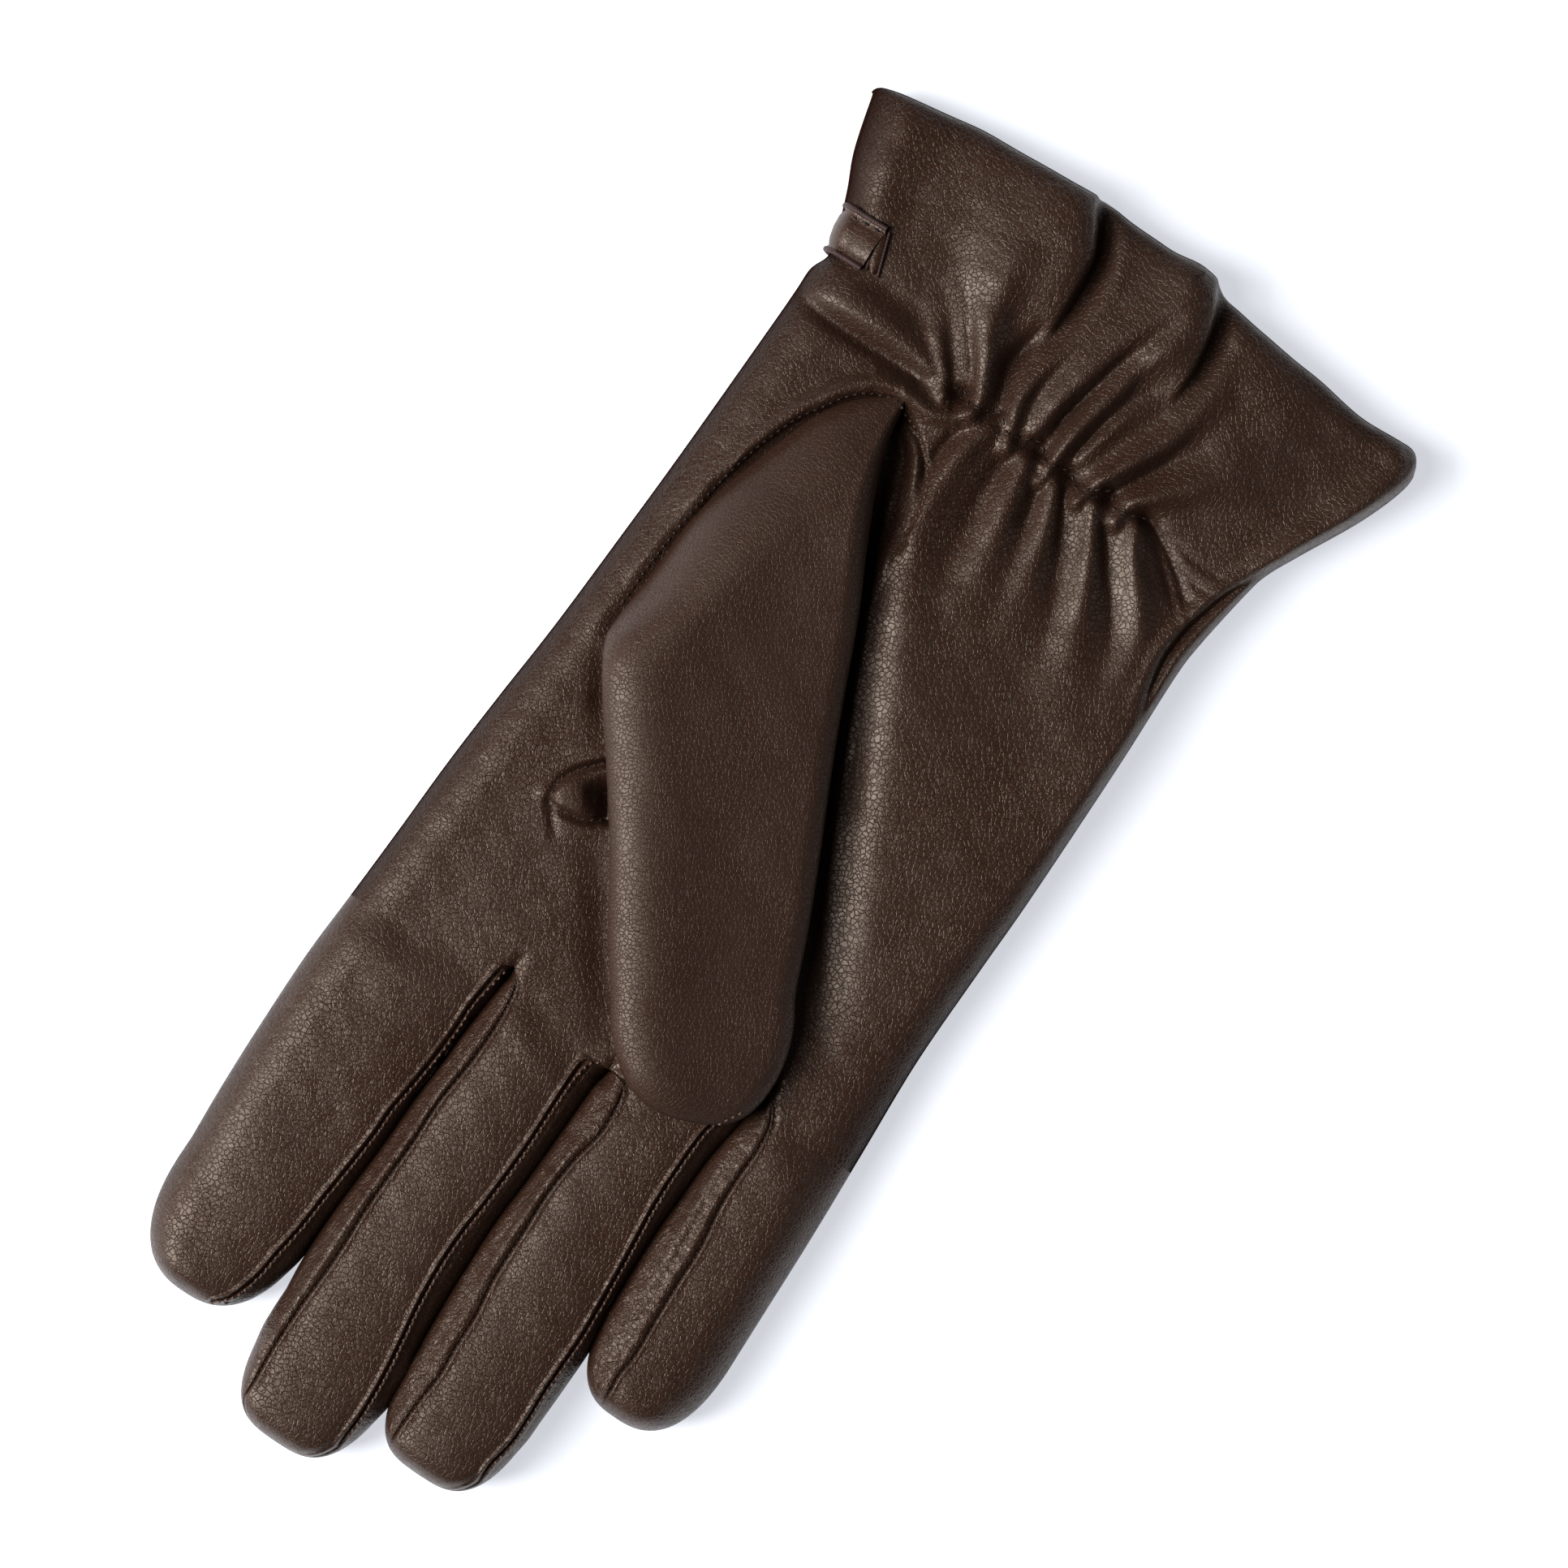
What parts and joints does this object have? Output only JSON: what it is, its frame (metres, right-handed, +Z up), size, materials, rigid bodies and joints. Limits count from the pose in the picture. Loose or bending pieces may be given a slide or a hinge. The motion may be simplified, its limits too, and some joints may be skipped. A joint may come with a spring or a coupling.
{
  "type": "leather glove",
  "caption": "Right-hand dress glove in smooth leather with sewn fingers and thumb, gathered wrist, flared cuff and small strap.",
  "frame": {"origin": "middle of the glove's footprint, on the surface that it lies on", "axes": "+Y along the fingers, +X towards the thumb side, +Z up out of the palm; the glove lies on its back"},
  "size_m": [0.114, 0.26, 0.0253],
  "materials": {
    "leather": "fine-grained aniline lambskin, dark brown, soft satin sheen",
    "lining": "fine knitted lining, brown",
    "elastic": "woven-covered flat elastic",
    "thread": "twisted sewing thread, dark red-brown",
    "edge_paint": "painted cut edge, dark red-brown, slightly glossy"
  },
  "bodies": {
    "hand": {"trank_palm": "leather", "trank_back": "leather", "hand_lining": "lining", "wrist_elastic": "elastic", "cuff_facing": "leather", "thumb_root": "leather", "thumb_gusset": "leather", "crotch_gusset_index": "leather", "crotch_gusset_middle": "leather", "crotch_gusset_ring": "leather", "wrist_strap": "leather", "strap_end_tab": "edge_paint", "strap_stitches": "thread", "elastic_stitches": "thread"},
    "index": {"index_front": "leather", "index_back": "leather", "index_fourchette": "leather", "index_lining": "lining"},
    "middle": {"middle_front": "leather", "middle_back": "leather", "middle_fourchette_index_side": "leather", "middle_fourchette_ring_side": "leather", "middle_lining": "lining"},
    "ring": {"ring_front": "leather", "ring_back": "leather", "ring_fourchette_middle_side": "leather", "ring_fourchette_little_side": "leather", "ring_lining": "lining"},
    "little": {"little_front": "leather", "little_back": "leather", "little_fourchette": "leather", "little_lining": "lining"},
    "thumb": {"thumb_front": "leather", "thumb_back": "leather", "thumb_lining": "lining"}
  },
  "joints": [
    {"name": "index_curl", "type": "hinge", "parent": "hand", "child": "index", "pos_m": [0.039, 0.044, 0.013], "axis": [1, 0, 0], "range_deg": [0, 70]},
    {"name": "middle_curl", "type": "hinge", "parent": "hand", "child": "middle", "pos_m": [0.0115, 0.048, 0.013], "axis": [1, 0, 0], "range_deg": [0, 70]},
    {"name": "ring_curl", "type": "hinge", "parent": "hand", "child": "ring", "pos_m": [-0.0129, 0.048, 0.013], "axis": [1, 0, 0], "range_deg": [0, 70]},
    {"name": "little_curl", "type": "hinge", "parent": "hand", "child": "little", "pos_m": [-0.0358, 0.038, 0.013], "axis": [1, 0, 0], "range_deg": [0, 70]},
    {"name": "thumb_lift", "type": "hinge", "parent": "hand", "child": "thumb", "pos_m": [0.025, -0.03, 0.013], "axis": [0.9063, 0.4226, 0], "range_deg": [0, 80]}
  ]
}
